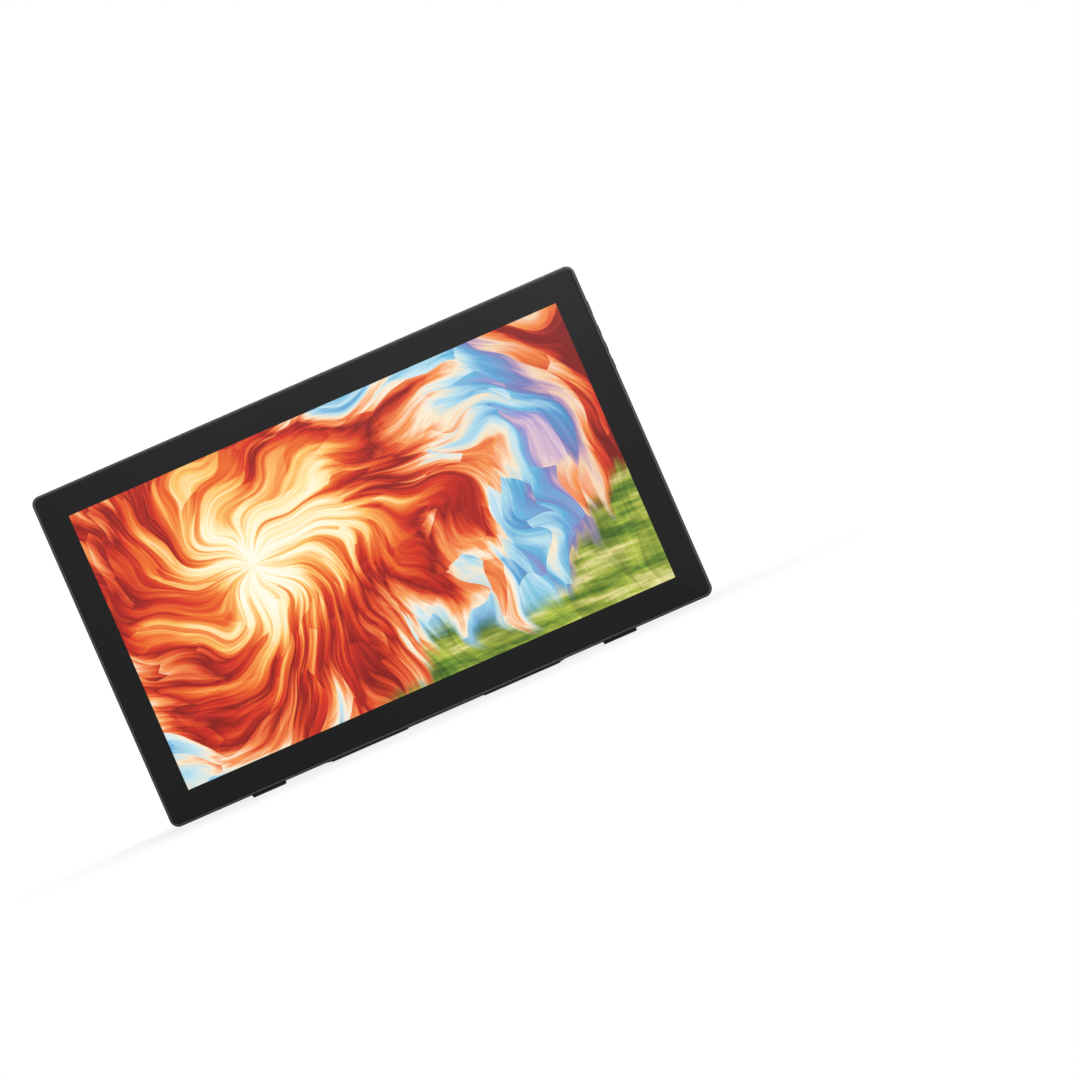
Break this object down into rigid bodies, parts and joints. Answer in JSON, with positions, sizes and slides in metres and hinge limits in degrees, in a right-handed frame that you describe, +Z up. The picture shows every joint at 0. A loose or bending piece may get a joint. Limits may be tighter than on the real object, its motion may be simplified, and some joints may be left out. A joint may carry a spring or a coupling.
{
  "type": "pen display tablet",
  "caption": "Flat pen display tablet with a glass front, a domed vented back, rubber feet and a folding rear stand leg held by a spring lock with a release lever.",
  "frame": {"origin": "on the floor under the middle of the object's box, with the tablet standing upright on its two feet and the leg's pads", "axes": "+X to the right seen from the front of the screen, +Y to the back, +Z up"},
  "size_m": [0.5867, 0.0782, 0.36],
  "materials": {
    "front_glass": "etched",
    "black_plastic": "matte",
    "frame_plastic": "matte",
    "cell_glass": "polished",
    "white_film": "matte",
    "clear_plastic": "polished",
    "lamp_strip": "matte",
    "sheet_aluminium": "mill",
    "circuit_board": "lacquered",
    "bright_steel": "plated",
    "dark_steel": "satin",
    "amber_film": "satin",
    "cover_plastic": "fine texture",
    "grille_plastic": "fine texture",
    "foot_rubber": "matte",
    "housing_plastic": "fine texture",
    "bush_brass": "turned",
    "leg_alloy": "dark powder coat",
    "leg_cap": "matte",
    "lever_plastic": "satin",
    "key_plastic": "satin"
  },
  "bodies": {
    "tablet": {"cover_glass": "front_glass", "glass_tape": "black_plastic", "front_frame": "frame_plastic", "lcd_cell": "cell_glass", "diffuser_sheet": "white_film", "light_guide": "clear_plastic", "led_bar": "lamp_strip", "backlight_tray": "sheet_aluminium", "sensor_board": "circuit_board", "shield_plate": "sheet_aluminium", "chassis_plate": "sheet_aluminium", "main_board": "circuit_board", "digitizer_board": "circuit_board", "io_board": "circuit_board", "data_sockets": "bright_steel", "video_socket": "bright_steel", "key_board": "circuit_board", "key_switches": "black_plastic", "panel_cable": "amber_film", "sensor_cable": "amber_film", "rear_cover": "cover_plastic", "upper_vent_grille": "grille_plastic", "lower_vent_grille": "grille_plastic", "cover_screws": "bright_steel", "foot_left": "foot_rubber", "foot_right": "foot_rubber", "stand_bracket": "bright_steel", "mount_plate": "dark_steel", "mount_screws": "bright_steel", "hinge_housing": "housing_plastic", "shaft_bushes": "bush_brass", "lock_spring": "bright_steel"},
    "leg": {"stand_leg": "leg_alloy", "hinge_shaft": "bright_steel", "shaft_spacers": "black_plastic", "shaft_caps": "leg_cap", "leg_pads": "foot_rubber"},
    "lever": {"release_lever": "lever_plastic"},
    "power": {"power_button": "key_plastic"},
    "menu": {"menu_key": "key_plastic"},
    "plus": {"plus_key": "key_plastic"},
    "minus": {"minus_key": "key_plastic"}
  },
  "joints": [
    {"name": "stand_hinge", "type": "hinge", "parent": "tablet", "child": "leg", "pos_m": [0, 0.00486, 0.1891], "axis": [1, 0, 0], "range_deg": [-6.7, 140]},
    {"name": "release_hinge", "type": "hinge", "parent": "tablet", "child": "lever", "pos_m": [0, 0.00486, 0.1891], "axis": [1, 0, 0], "range_deg": [0, 6], "stiffness_Nm_per_rad": 6, "springref_deg": -5.73, "deforming": ["lock_spring"]},
    {"name": "power_press", "type": "slide", "parent": "tablet", "child": "power", "axis": [-1, 0, 0], "range_m": [0, 0.0005], "stiffness_N_per_m": 1000, "springref_m": -0.0005},
    {"name": "menu_press", "type": "slide", "parent": "tablet", "child": "menu", "axis": [-1, 0, 0], "range_m": [0, 0.0005], "stiffness_N_per_m": 1000, "springref_m": -0.0005},
    {"name": "plus_press", "type": "slide", "parent": "tablet", "child": "plus", "axis": [-1, 0, 0], "range_m": [0, 0.0005], "stiffness_N_per_m": 1000, "springref_m": -0.0005},
    {"name": "minus_press", "type": "slide", "parent": "tablet", "child": "minus", "axis": [-1, 0, 0], "range_m": [0, 0.0005], "stiffness_N_per_m": 1000, "springref_m": -0.0005}
  ]
}
